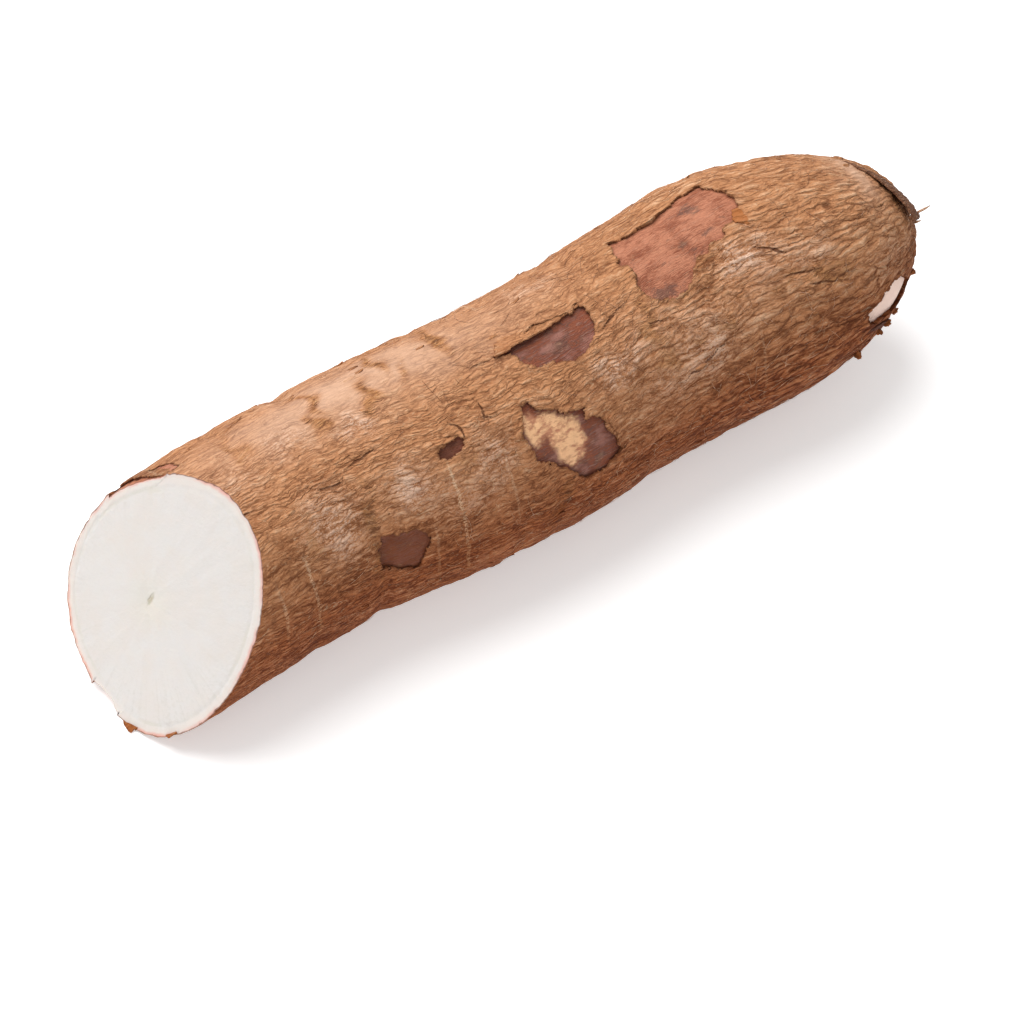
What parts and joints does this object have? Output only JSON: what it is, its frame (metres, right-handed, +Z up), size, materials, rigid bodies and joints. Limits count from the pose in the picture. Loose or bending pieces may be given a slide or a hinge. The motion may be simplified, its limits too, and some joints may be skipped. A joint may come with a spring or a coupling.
{
  "type": "cassava root",
  "caption": "Thick round root lying on its side, with one slanting cut that shows pale flesh, a blunt tip and brown bark peeled away in patches.",
  "frame": {"origin": "middle of the bounding box, on the surface that the root lies on", "axes": "+Z up; +X along the root from the cut stem end to the blunt tip"},
  "size_m": [0.2895, 0.0796, 0.0765],
  "materials": {
    "bark": "dry, wrinkled brown bark, matt, with smooth red-brown skin where it has peeled; the cut end is matt, moist, off-white flesh with a thin pink rind"
  },
  "bodies": {
    "root": {"cassava_root": "bark"}
  },
  "joints": []
}
